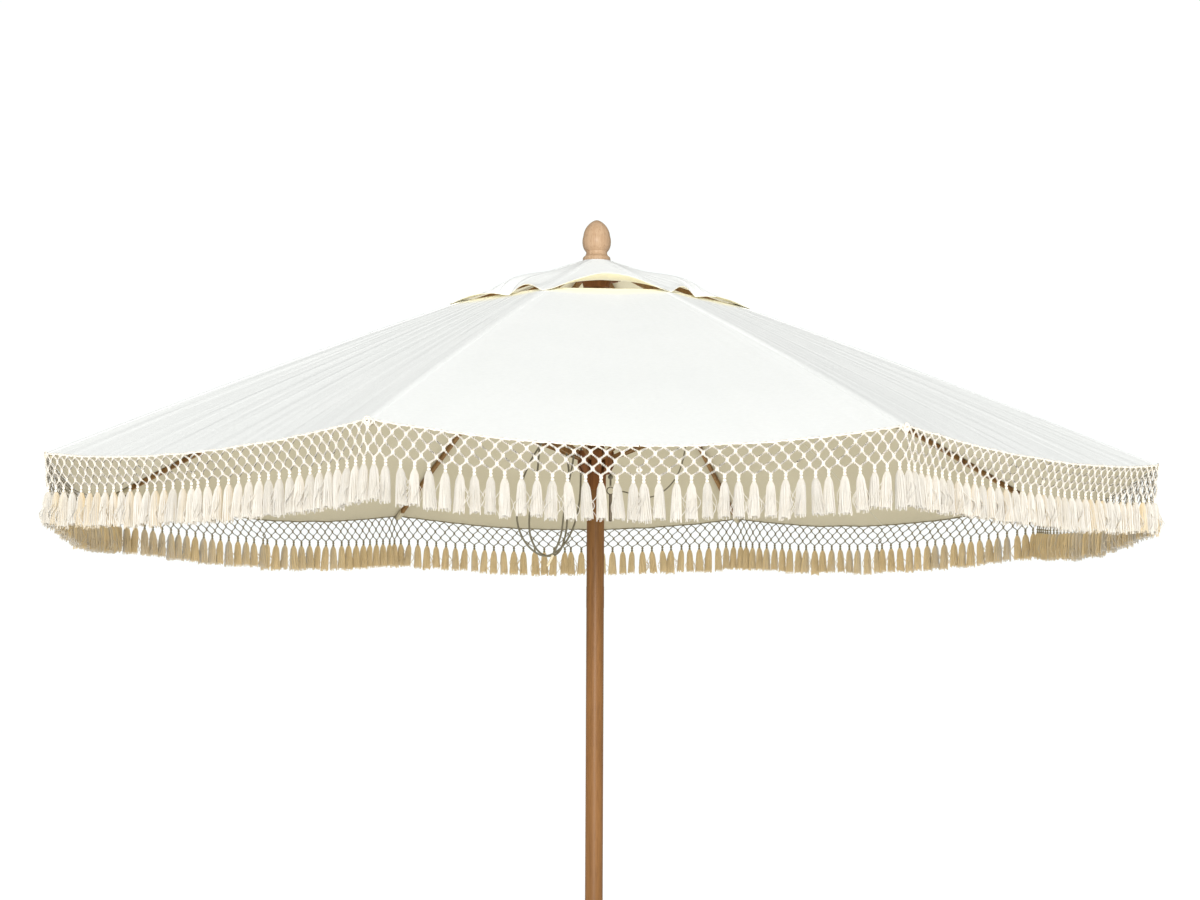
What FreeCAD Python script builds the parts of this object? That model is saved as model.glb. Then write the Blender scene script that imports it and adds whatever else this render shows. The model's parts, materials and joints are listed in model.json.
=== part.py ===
import FreeCAD, Part

import math
import os

# Fringed garden and beach parasol with eight wooden ribs, opened. Millimetres, +Z up.
# The origin is the centre of the pole's foot, and the front panel faces -Y.
# An azimuth is counted from -Y towards +X, in degrees.

V = FreeCAD.Vector

# ---- driving dimensions ----
PANELS = 8
RIM_Z = 2120.0            # height of the rim's corners above the foot
RIM_R = 1500.0            # radius of the rim's corners
POLE_R = 24.0
POLE_JOINT_Z = RIM_Z - 290.0
COLLAR_LENGTH = 58.0
COLLAR_R = 24.4
TENON_R = 22.0
SPIGOT_R = 14.0
SPIGOT_UP = 80.0
SPIGOT_DOWN = 110.0
RUNNING = 0.05            # radial clearance of a pivot or a sliding fit

PIVOT_R = 2.5             # radius of every hinge pin
RIB_PIVOT = (60.0, RIM_Z + 588.0)
RIB_TIP = (1484.0, RIM_Z - 2.5)
RIB_WIDTH = 10.0
RIB_DEPTH = 12.0
RIB_BOW = 12.0
BRACKET_ALONG = 675.0     # from the rib's pivot to the strut's pivot, along the chord
BRACKET_BELOW = 11.0      # and below the chord
BRACKET_PLATE = 1.5
BRACKET_EYE_R = 7.0
TIP_CAP = (5.0, 13.0, 13.0)

STRUT_WIDTH = 9.0
STRUT_DEPTH = 11.0
STRUT_PIVOT = (41.0, RIM_Z + 60.0)

HUB_R = 70.0
HUB_SLOT_R = 46.5
HUB_Z = (RIM_Z + 559.0, RIM_Z + 595.0)
HUB_NECK = (36.0, 23.0)   # radius, and drop below the hub
RUNNER_R = 50.0
RUNNER_BORE_R = 25.0
RUNNER_SLEEVE_R = 28.3
RUNNER_SLOT_R = 28.6
RUNNER_Z = (RIM_Z - 27.0, RIM_Z + 82.0)
CROWN_Z = RIM_Z + 18.0

PULLEY_Z = RIM_Z + 500.0
PULLEY_R = 30.0
PULLEY_GROOVE_R = 24.4
PULLEY_WIDTH = 10.0
PULLEY_SLOT = (13.0, 72.0)
ROPE_D = 5.5
ROPE_HOLE_X = 41.0
ROPE_HOLE_R = 3.8
LANYARD_D = 4.0
LOCK_PIN_R = 4.0
LOCK_PIN_LENGTH = 75.0
LOCK_PIN_X = 41.0
LOCK_HOLE_Z = RIM_Z - 36.0

FABRIC = 1.2
FABRIC_ABOVE_RIB = 3.5
PANEL_INNER_R = 395.0
PANEL_OUTER_R = 1497.0
VENT_INNER_R = 66.0
VENT_OUTER_R = 437.0
VENT_CROWN_R = 60.0
VENT_LIFT = 3.6           # how far the vent lies above the panels, on the ribs
VENT_BILLOW = 46.0        # how far its edge lifts between the ribs
HEM_DIP = 50.0            # how far the hem hangs lower between the ribs
HEM_REACH = 15.0          # how far the hem reaches past the chord between two corners
STITCH_GAP = 0.5          # half the gap between neighbouring panels
FRINGE_DROP = 163.0
FRINGE_THICK = 10.0
FRINGE_CORNER_R = 1504.0
FRINGE_TOP = 3.0          # below the hem

FINIAL_Z = RIM_Z + 609.0
FINIAL_H = 118.0
STUD_R = 5.0

STEP_DEG = 360.0 / PANELS
AZIMUTHS = [STEP_DEG * (k - 0.5) for k in range(PANELS)]
HALF = math.radians(STEP_DEG / 2)


# ---- helpers ----
def ring(r_out, r_in, z0, z1):
    """A tube about the pole's axis, or a disc where r_in is 0."""
    solid = Part.makeCylinder(r_out, z1 - z0, V(0, 0, z0))
    if r_in:
        solid = solid.cut(Part.makeCylinder(r_in, z1 - z0, V(0, 0, z0)))
    return solid


def turned(profile):
    """A solid turned about the pole's axis from a closed (r, z) outline."""
    points = [V(r, 0, z) for r, z in profile]
    face = Part.Face(Part.makePolygon(points + points[:1]))
    return face.revolve(V(0, 0, 0), V(0, 0, 1), 360)


def cross_pin(point, radius, half_length, start=None):
    """A cylinder across a radial plane at (r, z), built on the +X radius."""
    begin = -half_length if start is None else start
    return Part.makeCylinder(
        radius, half_length - begin, V(point[0], begin, point[1]), V(0, 1, 0)
    )


def slab(edges, width):
    """Extrude a closed outline in the XZ plane to a width centred on the plane."""
    face = Part.Face(Part.Wire(Part.__sortEdges__(edges)))
    face.translate(V(0, -width / 2, 0))
    return face.extrude(V(0, width, 0))


def at_azimuth(shape, azimuth):
    """Turn a shape built on the +X radius to an azimuth."""
    copy = shape.copy()
    copy.rotate(V(0, 0, 0), V(0, 0, 1), azimuth - 90.0)
    return copy


def triangle(a, b, c):
    return Part.Face(Part.makePolygon([a, b, c, a]))


def all_round(shape):
    return [at_azimuth(shape, a) for a in AZIMUTHS]


def unit(a, b):
    length = math.hypot(b[0] - a[0], b[1] - a[1])
    return ((b[0] - a[0]) / length, (b[1] - a[1]) / length)


# ---- the ribs' line, shared by the ribs, their brackets and the fabric ----
CHORD = unit(RIB_PIVOT, RIB_TIP)
UP = (-CHORD[1], CHORD[0])
CHORD_LENGTH = math.dist(RIB_PIVOT, RIB_TIP)


def on_rib(along, above):
    """The (r, z) point at a distance along the rib's chord and above it."""
    return (
        RIB_PIVOT[0] + along * CHORD[0] + above * UP[0],
        RIB_PIVOT[1] + along * CHORD[1] + above * UP[1],
    )


def bow(along):
    share = along / CHORD_LENGTH
    return 4 * RIB_BOW * share * (1 - share)


def ridge_z(r):
    """Height of the fabric's outer face along a rib."""
    along = (r - RIB_PIVOT[0]) / CHORD[0]
    above = bow(along) + RIB_DEPTH / 2 + FABRIC_ABOVE_RIB + FABRIC
    return RIB_PIVOT[1] + along * CHORD[1] + above / CHORD[0]


STRUT_TOP = on_rib(BRACKET_ALONG, -BRACKET_BELOW)


# ---- pole ----
def lower_pole():
    shoulder = POLE_JOINT_Z - COLLAR_LENGTH
    pole = ring(POLE_R, 0, 0, shoulder)
    foot = [e for e in pole.Edges if e.BoundBox.ZMax < 1 and e.BoundBox.XLength > POLE_R]
    pole = pole.makeChamfer(3.0, foot)
    pole = pole.fuse(ring(TENON_R, 0, shoulder, POLE_JOINT_Z)).removeSplitter()
    return pole.cut(ring(SPIGOT_R + RUNNING, 0, POLE_JOINT_Z - SPIGOT_DOWN - 5, POLE_JOINT_Z))


def upper_pole():
    pole = ring(POLE_R, 0, POLE_JOINT_Z, HUB_Z[1])
    mortise = Part.makeBox(2.5 * POLE_R, PULLEY_SLOT[0], PULLEY_SLOT[1])
    mortise.translate(V(-1.25 * POLE_R, -PULLEY_SLOT[0] / 2, PULLEY_Z - PULLEY_SLOT[1] / 2))
    lock_hole = Part.makeCylinder(
        LOCK_PIN_R + 0.6, 2.5 * POLE_R, V(-1.25 * POLE_R, 0, LOCK_HOLE_Z), V(1, 0, 0)
    )
    axle_hole = cross_pin((0, PULLEY_Z), PIVOT_R, POLE_R + 1)
    stud_hole = ring(STUD_R, 0, HUB_Z[1] - 40, HUB_Z[1])
    spigot_hole = ring(SPIGOT_R, 0, POLE_JOINT_Z, POLE_JOINT_Z + SPIGOT_UP)
    for cut in (mortise, lock_hole, axle_hole, stud_hole, spigot_hole):
        pole = pole.cut(cut)
    return pole


def pulley_wheel():
    half, bore = PULLEY_WIDTH / 2, PIVOT_R + RUNNING
    # the groove is an arc of the rope's own radius, so the rope beds into it
    bed = ROPE_D / 2 + 0.1
    lip_r = PULLEY_GROOVE_R + bed
    below = [V(bore, 0, -half), V(PULLEY_R, 0, -half), V(PULLEY_R, 0, -bed), V(lip_r, 0, -bed)]
    above = [V(p.x, 0, -p.z) for p in reversed(below)]
    edges = [Part.LineSegment(a, b).toShape() for a, b in zip(below, below[1:])]
    edges.append(Part.Arc(below[-1], V(PULLEY_GROOVE_R, 0, 0), above[0]).toShape())
    edges += [Part.LineSegment(a, b).toShape() for a, b in zip(above, above[1:])]
    edges.append(Part.LineSegment(above[-1], below[0]).toShape())
    wheel = Part.Face(Part.Wire(edges)).revolve(V(0, 0, 0), V(0, 0, 1), 360)
    wheel.rotate(V(0, 0, 0), V(1, 0, 0), 90)
    wheel.translate(V(0, 0, PULLEY_Z))
    return wheel


# ---- hub, runner and linkage ----
def slots(width, r_in, z0, z1):
    cutter = Part.makeBox(2 * HUB_R, width, z1 - z0, V(r_in, -width / 2, z0))
    return all_round(cutter)


def hub_pins():
    return all_round(cross_pin(RIB_PIVOT, PIVOT_R, RIB_WIDTH / 2 + 7))


def top_hub():
    low, high = HUB_Z
    neck_r, neck = HUB_NECK
    hub = turned([
        (POLE_R, low - neck), (neck_r, low - neck), (neck_r + 5, low),
        (HUB_R, low), (HUB_R, high - 3), (HUB_R - 3, high), (POLE_R, high),
    ])
    for cut in slots(RIB_WIDTH + 1, HUB_SLOT_R, low, high) + hub_pins():
        hub = hub.cut(cut)
    return hub


def runner_pins():
    """Each strut's pivot is two short stubs that end flush with the slot's walls."""
    wall = (STRUT_WIDTH + 1) / 2
    near = cross_pin(STRUT_PIVOT, PIVOT_R - 0.5, wall + 2.8, wall)
    far = cross_pin(STRUT_PIVOT, PIVOT_R - 0.5, -wall, -wall - 2.8)
    return all_round(near) + all_round(far)


def runner():
    low, high = RUNNER_Z
    body = turned([
        (RUNNER_BORE_R, low), (RUNNER_SLEEVE_R, low), (RUNNER_SLEEVE_R, CROWN_Z),
        (RUNNER_R - 12, CROWN_Z), (RUNNER_R, CROWN_Z + 22), (RUNNER_R, high - 4),
        (RUNNER_R - 4, high), (RUNNER_BORE_R, high),
    ])
    cuts = slots(STRUT_WIDTH + 1, RUNNER_SLOT_R, CROWN_Z, high) + runner_pins()
    for side in (-1, 1):
        cuts.append(
            Part.makeCylinder(ROPE_HOLE_R, 2 * RUNNER_R, V(side * ROPE_HOLE_X, 0, CROWN_Z - 10))
        )
    for cut in cuts:
        body = body.cut(cut)
    return body


def rib():
    half = RIB_DEPTH / 2
    rows = {}
    for name, above in (("top", half), ("under", -half)):
        rows[name] = [
            on_rib(0, above),
            on_rib(CHORD_LENGTH / 2, RIB_BOW + above),
            on_rib(CHORD_LENGTH, above),
        ]
    points = {n: [V(r, 0, z) for r, z in row] for n, row in rows.items()}
    root = on_rib(-half, 0)
    edges = [
        Part.Arc(*points["top"]).toShape(),
        Part.LineSegment(points["top"][2], points["under"][2]).toShape(),
        Part.Arc(*points["under"]).toShape(),
        Part.Arc(points["under"][0], V(root[0], 0, root[1]), points["top"][0]).toShape(),
    ]
    return slab(edges, RIB_WIDTH).cut(cross_pin(RIB_PIVOT, PIVOT_R + RUNNING, RIB_WIDTH))


def bracket_plate():
    """A brass plate on a rib's side, with the strut's eye at its lower end."""
    low, high = -BRACKET_BELOW, bow(BRACKET_ALONG) + RIB_DEPTH / 4
    a, r = BRACKET_ALONG, BRACKET_EYE_R
    corners = [
        V(p[0], 0, p[1])
        for p in (on_rib(a - r, low), on_rib(a - r, high), on_rib(a + r, high), on_rib(a + r, low))
    ]
    eye = on_rib(a, low - r)
    edges = [Part.LineSegment(p, q).toShape() for p, q in zip(corners, corners[1:])]
    edges.append(Part.Arc(corners[-1], V(eye[0], 0, eye[1]), corners[0]).toShape())
    return slab(edges, BRACKET_PLATE).cut(cross_pin(STRUT_TOP, PIVOT_R, RIB_WIDTH))


def rib_fittings():
    """The strut's bracket, its pin and the rib's end cap."""
    pieces = [cross_pin(STRUT_TOP, PIVOT_R, RIB_WIDTH / 2 + BRACKET_PLATE)]
    for side in (-1, 1):
        plate = bracket_plate()
        plate.translate(V(0, side * (RIB_WIDTH + BRACKET_PLATE) / 2, 0))
        pieces.append(plate)
    thick, width, depth = TIP_CAP
    cap = Part.makeBox(thick, width, depth, V(0, -width / 2, -RIB_DEPTH / 2 - 1))
    cap = cap.makeFillet(2.0, [e for e in cap.Edges if e.BoundBox.XMin > thick - 0.1])
    cap.rotate(V(0, 0, 0), V(0, 1, 0), math.degrees(math.atan2(-CHORD[1], CHORD[0])))
    cap.translate(V(RIB_TIP[0], 0, RIB_TIP[1]))
    return pieces + [cap]


def strut():
    """A straight bar with rounded ends about its two pivots."""
    low, high = STRUT_PIVOT, STRUT_TOP
    along = unit(low, high)
    half = STRUT_DEPTH / 2
    side = (-along[1] * half, along[0] * half)

    def corner(p, s):
        return V(p[0] + s * side[0], 0, p[1] + s * side[1])

    low_end = V(low[0] - half * along[0], 0, low[1] - half * along[1])
    high_end = V(high[0] + half * along[0], 0, high[1] + half * along[1])
    edges = [
        Part.LineSegment(corner(low, 1), corner(high, 1)).toShape(),
        Part.Arc(corner(high, 1), high_end, corner(high, -1)).toShape(),
        Part.LineSegment(corner(high, -1), corner(low, -1)).toShape(),
        Part.Arc(corner(low, -1), low_end, corner(low, 1)).toShape(),
    ]
    bar = slab(edges, STRUT_WIDTH)
    for pivot in (low, high):
        bar = bar.cut(cross_pin(pivot, PIVOT_R + RUNNING, RIB_WIDTH))
    return bar


# ---- fabric ----
def gore_loop(r, ridge, drop, reach):
    """The closed outline across a gore, top face first, where its ridge is at (r, ridge)."""
    middle_r = r * math.cos(HALF) + reach
    angle = HALF - STITCH_GAP / middle_r
    side_x, side_y = middle_r * math.cos(angle), middle_r * math.sin(angle)
    top = []
    for across in (-1, -0.5, 0, 0.5, 1):
        share = abs(across)
        z = ridge - drop * share * (2 - share)
        top.append(V(r + (side_x - r) * share, side_y * across, z))
    return top + [p - V(0, 0, FABRIC) for p in reversed(top)]


def fabric_gore(stations):
    """A folded strip over one rib; each station is (r, ridge z, drop at its sides, reach).

    Its under face is creased along the same diagonals as its top face, so it keeps its thickness.
    """
    loops = [gore_loop(*station) for station in stations]
    faces = []
    for near, far in zip(loops, loops[1:]):
        for i, a in enumerate(near):
            j = (i + 1) % len(near)
            if i < len(near) // 2:
                faces += [triangle(a, near[j], far[j]), triangle(a, far[j], far[i])]
            else:
                faces += [triangle(a, near[j], far[i]), triangle(near[j], far[j], far[i])]
    for end in (loops[0], loops[-1]):
        top, under = end[: len(end) // 2], end[len(end) // 2:][::-1]
        for a, b, c, d in zip(top, top[1:], under[1:], under):
            faces += [triangle(a, b, c), triangle(a, c, d)]
    return Part.makeSolid(Part.makeShell(faces))


def canopy_panel():
    """The panel over one rib, and the flap of the vent above it."""
    steps = 6
    span = PANEL_OUTER_R - PANEL_INNER_R
    main = []
    for i in range(steps + 1):
        share = i / steps
        r = PANEL_INNER_R + span * share
        main.append((r, ridge_z(r), HEM_DIP * share**2.5, HEM_REACH * share**3))
    vent = []
    for i in range(steps + 1):
        share = i / steps
        r = VENT_INNER_R + (VENT_OUTER_R - VENT_INNER_R) * share
        vent.append((r, ridge_z(r) + VENT_LIFT, -VENT_BILLOW * share**2, 0))
    return [fabric_gore(main), fabric_gore(vent)]


def vent_crown():
    """The fabric disc that the finial clamps on the hub's cover."""
    low = FINIAL_Z - FABRIC
    edge = ridge_z(VENT_INNER_R) + VENT_LIFT
    return turned([
        (STUD_R, low), (45, low), (VENT_CROWN_R, edge - FABRIC),
        (VENT_CROWN_R, edge), (45, FINIAL_Z), (STUD_R, FINIAL_Z),
    ])


def fringe():
    """A curtain round one corner of the rim, to the middle of both its sides."""
    corner = V(FRINGE_CORNER_R, 0, 0)
    middle_r = PANEL_OUTER_R * math.cos(HALF) + HEM_REACH + FRINGE_CORNER_R - PANEL_OUTER_R
    halves = []
    for sign in (-1, 1):
        angle = sign * (HALF - STITCH_GAP / middle_r)
        middle = V(middle_r * math.cos(angle), middle_r * math.sin(angle), 0)
        along = middle - corner
        across = V(-along.y, along.x, 0).normalize() * FRINGE_THICK
        steps = 4
        top = []
        for i in range(steps + 1):
            share = i / steps
            dip = HEM_DIP * (1 - (1 - share) ** 2)
            point = corner + along * share
            top.append(V(point.x, point.y, RIM_Z - FRINGE_TOP - dip))
        under = [p - V(0, 0, FRINGE_DROP) for p in reversed(top)]
        loop = [p - across * 0.5 for p in top + under]
        face = Part.Face(Part.makePolygon(loop + loop[:1]))
        halves.append(face.extrude(across))
    # a post closes the notch where the two halves meet
    post = Part.makeCylinder(
        FRINGE_THICK / 2, FRINGE_DROP, corner + V(0, 0, RIM_Z - FRINGE_TOP - FRINGE_DROP)
    )
    return halves[0].fuse([halves[1], post]).removeSplitter()


# ---- finial ----
def finial():
    """A turned acorn: base ring, neck, and a pointed egg."""
    def at(r, below_top):
        return V(r, 0, FINIAL_Z + FINIAL_H - below_top)

    edges = [
        Part.LineSegment(at(0, FINIAL_H), at(36, FINIAL_H)).toShape(),
        Part.Arc(at(36, FINIAL_H), at(38.5, 111), at(35.5, 104)).toShape(),
        Part.Arc(at(35.5, 104), at(30, 98), at(29.5, 90)).toShape(),
        Part.Arc(at(29.5, 90), at(34, 84), at(37, 78)).toShape(),
        Part.Arc(at(37, 78), at(39.5, 65), at(37, 45)).toShape(),
        Part.Arc(at(37, 45), at(26.5, 18), at(7, 2)).toShape(),
        Part.LineSegment(at(7, 2), at(0, 0)).toShape(),
        Part.LineSegment(at(0, 0), at(0, FINIAL_H)).toShape(),
    ]
    body = Part.Face(Part.Wire(edges)).revolve(V(0, 0, 0), V(0, 0, 1), 360)
    return body.cut(ring(STUD_R, 0, FINIAL_Z, FINIAL_Z + 45))


# ---- cords ----
def cord_path(points, print_as=""):
    """Straight runs joined by tangent arcs, each as large as its two runs allow."""
    edges, radii, last = [], [], points[0]
    for before, here, after in zip(points, points[1:], points[2:]):
        a, b = (before - here), (after - here)
        turn = math.pi - a.getAngle(b)
        reach = 0.45 * min(a.Length, b.Length)
        radii.append(reach / math.tan(turn / 2))
        start, end = here + a.normalize() * reach, here + b.normalize() * reach
        bisector = (a + b).normalize()
        inward = radii[-1] / math.cos(turn / 2) - radii[-1]
        edges.append(Part.LineSegment(last, start).toShape())
        edges.append(Part.Arc(start, here + bisector * inward, end).toShape())
        last = end
    edges.append(Part.LineSegment(last, points[-1]).toShape())
    if print_as:
        length = sum(e.Length for e in edges)
        print(f"{print_as}: length {length:.0f} mm, radii", [round(r) for r in radii])
    return edges


def cord_tube(edges, diameter):
    """A round tube along a path of runs and arcs."""
    wire = Part.Wire(edges)
    start, way = edges[0].valueAt(edges[0].FirstParameter), edges[0].tangentAt(0)
    section = Part.Wire(Part.Circle(start, way, diameter / 2).toShape())
    tube = wire.makePipeShell([section], True, False)
    ideal = math.pi * diameter**2 / 4 * wire.Length
    print(f"  tube volume / (section x length) = {tube.Volume / ideal:.4f}")
    return tube


def above_rim(points):
    """Points given with their height above the rim's corners."""
    return [V(x, y, z + RIM_Z) for x, y, z in points]


ROPE_TAIL = [
    (-41, 0, 17), (-41, 0, -30), (-48, -7, -84), (-63, -14, -138), (-92, -23, -188),
    (-139, -32, -216), (-188, -42, -186), (-217, -50, -130), (-217, -56, -66),
    (-203, -62, -4), (-180, -74, 50), (-153, -83, 92), (-137, -78, 118), (-151, -42, 118),
    (-157, -35, 82), (-160, -31, 26), (-170, -28, -38), (-184, -26, -102),
    (-180, -24, -164), (-148, -22, -210), (-102, -20, -208), (-82, -18, -156),
    (-77, -16, -92), (-73, -14, -28), (-74, -11, 30), (-81, -11, 66), (-80, -13, 87),
    (-66, -48, 87), (-63, -53, 60), (-72, -51, 12), (-84, -50, -48), (-91, -49, -108),
    (-97, -48, -164), (-118, -46, -207),
]
LANYARD = [
    (53, 0, -27), (84, -8, -29), (121, -20, -48), (164, -41, -45), (203, -63, -15),
    (226, -82, 26), (237, -95, 78), (242, -100, 141),
]


def lift_rope_run():
    """Rope from the runner, up over the pulley and back down through the runner."""
    over = PULLEY_GROOVE_R + ROPE_D / 2 + 0.1
    foot, bend = CROWN_Z, RUNNER_Z[1] + 8
    dx, dz = ROPE_HOLE_X, PULLEY_Z - bend
    distance = math.hypot(dx, dz)
    lean = math.acos(over / distance) - math.atan2(dz, dx)
    touch = (over * math.cos(lean), PULLEY_Z + over * math.sin(lean))
    left = [V(-ROPE_HOLE_X, 0, foot), V(-ROPE_HOLE_X, 0, bend), V(-touch[0], 0, touch[1])]
    right = [V(-p.x, 0, p.z) for p in reversed(left)]
    up, down = cord_path(left), cord_path(right)
    arc = Part.Arc(left[-1], V(0, 0, PULLEY_Z + over), right[0]).toShape()
    return cord_tube(up + [arc] + down, ROPE_D)


def rope_knot():
    """The stopper knot under the runner, with its short tail."""
    centre = V(ROPE_HOLE_X, 0, CROWN_Z - 7.2)
    ball = Part.makeSphere(7, centre)
    tail = Part.makeCylinder(ROPE_D / 2, 24, centre, V(0, 0, -1))
    return ball.fuse(tail).removeSplitter()


def rope_end():
    """The whipped end of the rope, in line with its last run."""
    a, b = above_rim(ROPE_TAIL)[-2:]
    way = (b - a).normalize()
    return Part.makeCylinder(ROPE_D / 2 + 0.6, 34, b, way)


def lock_pin():
    """A steel pin hanging from its ring."""
    centre = V(LOCK_PIN_X, 0, RIM_Z - 27)
    pull = Part.makeTorus(10, 1.5, centre, V(0, 1, 0))
    shank = Part.makeCylinder(LOCK_PIN_R, LOCK_PIN_LENGTH, centre + V(0, 0, -9.5), V(0, 0, -1))
    tip = shank.Edges
    ends = [e for e in tip if e.BoundBox.ZMax < centre.z - LOCK_PIN_LENGTH]
    return shank.makeChamfer(1.5, ends).fuse(pull).removeSplitter()


# ---- build ----
def nodes():
    made = {
        "lower_pole": lower_pole(),
        "pole_collar": ring(COLLAR_R, TENON_R, POLE_JOINT_Z - COLLAR_LENGTH, POLE_JOINT_Z),
        "pole_spigot": ring(
            SPIGOT_R, SPIGOT_R - 1.5, POLE_JOINT_Z - SPIGOT_DOWN, POLE_JOINT_Z + SPIGOT_UP
        ),
        "upper_pole": upper_pole(),
        "top_hub": top_hub(),
        "hub_pins": hub_pins(),
        "hub_cover": ring(44, STUD_R, HUB_Z[1], FINIAL_Z - FABRIC),
        "vent_crown": vent_crown(),
        "finial": finial(),
        "finial_stud": ring(STUD_R, 0, HUB_Z[1] - 40, FINIAL_Z + 45),
        "pulley_wheel": pulley_wheel(),
        "pulley_axle": cross_pin((0, PULLEY_Z), PIVOT_R, POLE_R),
        "runner": runner(),
        "runner_pins": runner_pins(),
        "lift_rope_run": lift_rope_run(),
        "lift_rope_tail": cord_tube(cord_path(above_rim(ROPE_TAIL), "rope tail"), ROPE_D),
        "rope_knot": rope_knot(),
        "rope_end": rope_end(),
        "lock_pin": lock_pin(),
        "lock_pin_lanyard": cord_tube(cord_path(above_rim(LANYARD), "lanyard"), LANYARD_D),
    }
    repeated = {
        "rib": rib(),
        "rib_fittings": rib_fittings(),
        "strut": strut(),
        "canopy_panel": canopy_panel(),
        "fringe": fringe(),
    }
    for name, shape in repeated.items():
        group = shape if isinstance(shape, list) else [shape]
        for number, azimuth in enumerate(AZIMUTHS, 1):
            made[f"{name}_{number}"] = [at_azimuth(s, azimuth) for s in group]
    return made


os.makedirs("parts", exist_ok=True)
for node, shape in nodes().items():
    if isinstance(shape, list):
        shape = shape[0] if len(shape) == 1 else Part.makeCompound(shape)
    shape.exportStep(f"parts/{node}.step")
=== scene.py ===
import json
import math

import bpy
import numpy as np
from mathutils import Matrix, Vector, noise


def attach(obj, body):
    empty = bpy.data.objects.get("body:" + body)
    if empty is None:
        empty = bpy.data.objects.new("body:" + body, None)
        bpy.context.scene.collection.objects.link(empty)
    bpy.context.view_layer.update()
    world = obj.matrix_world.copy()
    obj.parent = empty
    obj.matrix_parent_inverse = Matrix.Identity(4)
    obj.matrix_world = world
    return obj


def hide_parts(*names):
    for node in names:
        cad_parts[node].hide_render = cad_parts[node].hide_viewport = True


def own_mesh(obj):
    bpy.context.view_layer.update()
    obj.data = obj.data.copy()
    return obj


# A fringed beach parasol: the cloth, its net and tassels, the cords and every material, around
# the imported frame. Metres, +Z up, the front panel faces -Y.

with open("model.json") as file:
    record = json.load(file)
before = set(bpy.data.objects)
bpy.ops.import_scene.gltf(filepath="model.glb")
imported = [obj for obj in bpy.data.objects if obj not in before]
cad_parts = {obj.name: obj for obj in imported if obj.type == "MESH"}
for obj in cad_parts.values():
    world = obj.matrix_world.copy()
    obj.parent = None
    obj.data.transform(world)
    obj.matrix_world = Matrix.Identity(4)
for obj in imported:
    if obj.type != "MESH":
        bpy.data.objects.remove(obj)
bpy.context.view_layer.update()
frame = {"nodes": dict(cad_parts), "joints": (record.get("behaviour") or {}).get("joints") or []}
rng = np.random.default_rng(17)
joints = {j["name"]: j for j in frame["joints"]}

# ---- sizes, from the frame where it has them ----
PANELS = 8
HALF = math.pi / PANELS
RIB_ROOT = joints["rib_1_fold"]["pos_m"]
RIB_END = joints["fringe_1_hang"]["pos_m"]
ROOT_R, ROOT_Z = math.hypot(*RIB_ROOT[:2]), RIB_ROOT[2]
TIP_R, TIP_Z = math.hypot(*RIB_END[:2]) - 0.004, RIB_END[2]
RIM_Z = TIP_Z + 0.0025
SPAN = math.hypot(TIP_R - ROOT_R, TIP_Z - ROOT_Z)
ALONG = ((TIP_R - ROOT_R) / SPAN, (TIP_Z - ROOT_Z) / SPAN)
RIB_BOW = 0.012
CLOTH = 0.0012
CLOTH_ABOVE_RIB = 0.006 + 0.0035 + CLOTH
HOLE_R, HEM_R = 0.395, 1.497
VENT_R0, VENT_R1 = 0.058, 0.437
VENT_LIFT, VENT_EDGE = 0.0036, {1: 0.047, 3: 0.028, 7: 0.028}
FOLDED_FLAPS = {8: (0.64, False), 2: (0.70, True), 5: (0.66, False)}
HEM_DIPS, HEM_REACH = {1: 0.052, 2: 0.031, 5: 0.040, 8: 0.036}, 0.015
TASSEL_STRETCH, OTHER_STRETCH = {1: 1.0, 2: 0.96, 8: 1.02}, 0.94
TASSELS_PER_HALF = 18

# the camera stands where the photographer stood, a little to the left of the front
EYE_DISTANCE, EYE_BELOW_RIM = 6.0594, 0.5471
EYE_TURN, EYE_YAW, EYE_PITCH, EYE_ROLL = 0.0660, 0.00191, 0.10395, 0.00414
LENS_MM, SENSOR_MM = 66.52, 36.0
SUN, SUN_HEIGHT_DEG, SKY, FLOOR_GLOW = 4.0, 5, 0.43, 0.61


# ---- camera ----
def make_camera():
    heading = EYE_TURN + EYE_YAW
    forward = Vector((
        math.sin(heading) * math.cos(EYE_PITCH),
        math.cos(heading) * math.cos(EYE_PITCH),
        math.sin(EYE_PITCH),
    ))
    level = Vector((math.cos(heading), -math.sin(heading), 0))
    above = level.cross(forward)
    right = math.cos(EYE_ROLL) * level + math.sin(EYE_ROLL) * above
    up = -math.sin(EYE_ROLL) * level + math.cos(EYE_ROLL) * above
    data = bpy.data.cameras.new("camera")
    data.lens, data.sensor_width = LENS_MM, SENSOR_MM
    data.clip_end = 200
    camera = bpy.data.objects.new("camera", data)
    bpy.context.collection.objects.link(camera)
    place = (
        -EYE_DISTANCE * math.sin(EYE_TURN),
        -EYE_DISTANCE * math.cos(EYE_TURN),
        RIM_Z - EYE_BELOW_RIM,
    )
    rows = [(right[i], up[i], -forward[i], place[i]) for i in range(3)]
    camera.matrix_world = Matrix((*rows, (0, 0, 0, 1)))
    bpy.context.scene.camera = camera


# ---- materials ----
def new_material(name, roughness=0.6, sheen=0.0, coat=0.0, metallic=0.0):
    material = bpy.data.materials.new(name)
    material.use_nodes = True
    shader = material.node_tree.nodes["Principled BSDF"]
    shader.inputs["Roughness"].default_value = roughness
    shader.inputs["Sheen Weight"].default_value = sheen
    shader.inputs["Coat Weight"].default_value = coat
    shader.inputs["Metallic"].default_value = metallic
    return material, material.node_tree, shader


def node(tree, kind, **inputs):
    made = tree.nodes.new(kind)
    for key, value in inputs.items():
        made.inputs[key.replace("_", " ")].default_value = value
    return made


def object_coords(tree, scale=(1, 1, 1)):
    source = tree.nodes.new("ShaderNodeTexCoord")
    mapping = tree.nodes.new("ShaderNodeMapping")
    mapping.inputs["Scale"].default_value = scale
    tree.links.new(source.outputs["Object"], mapping.inputs["Vector"])
    return mapping.outputs["Vector"]


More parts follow.
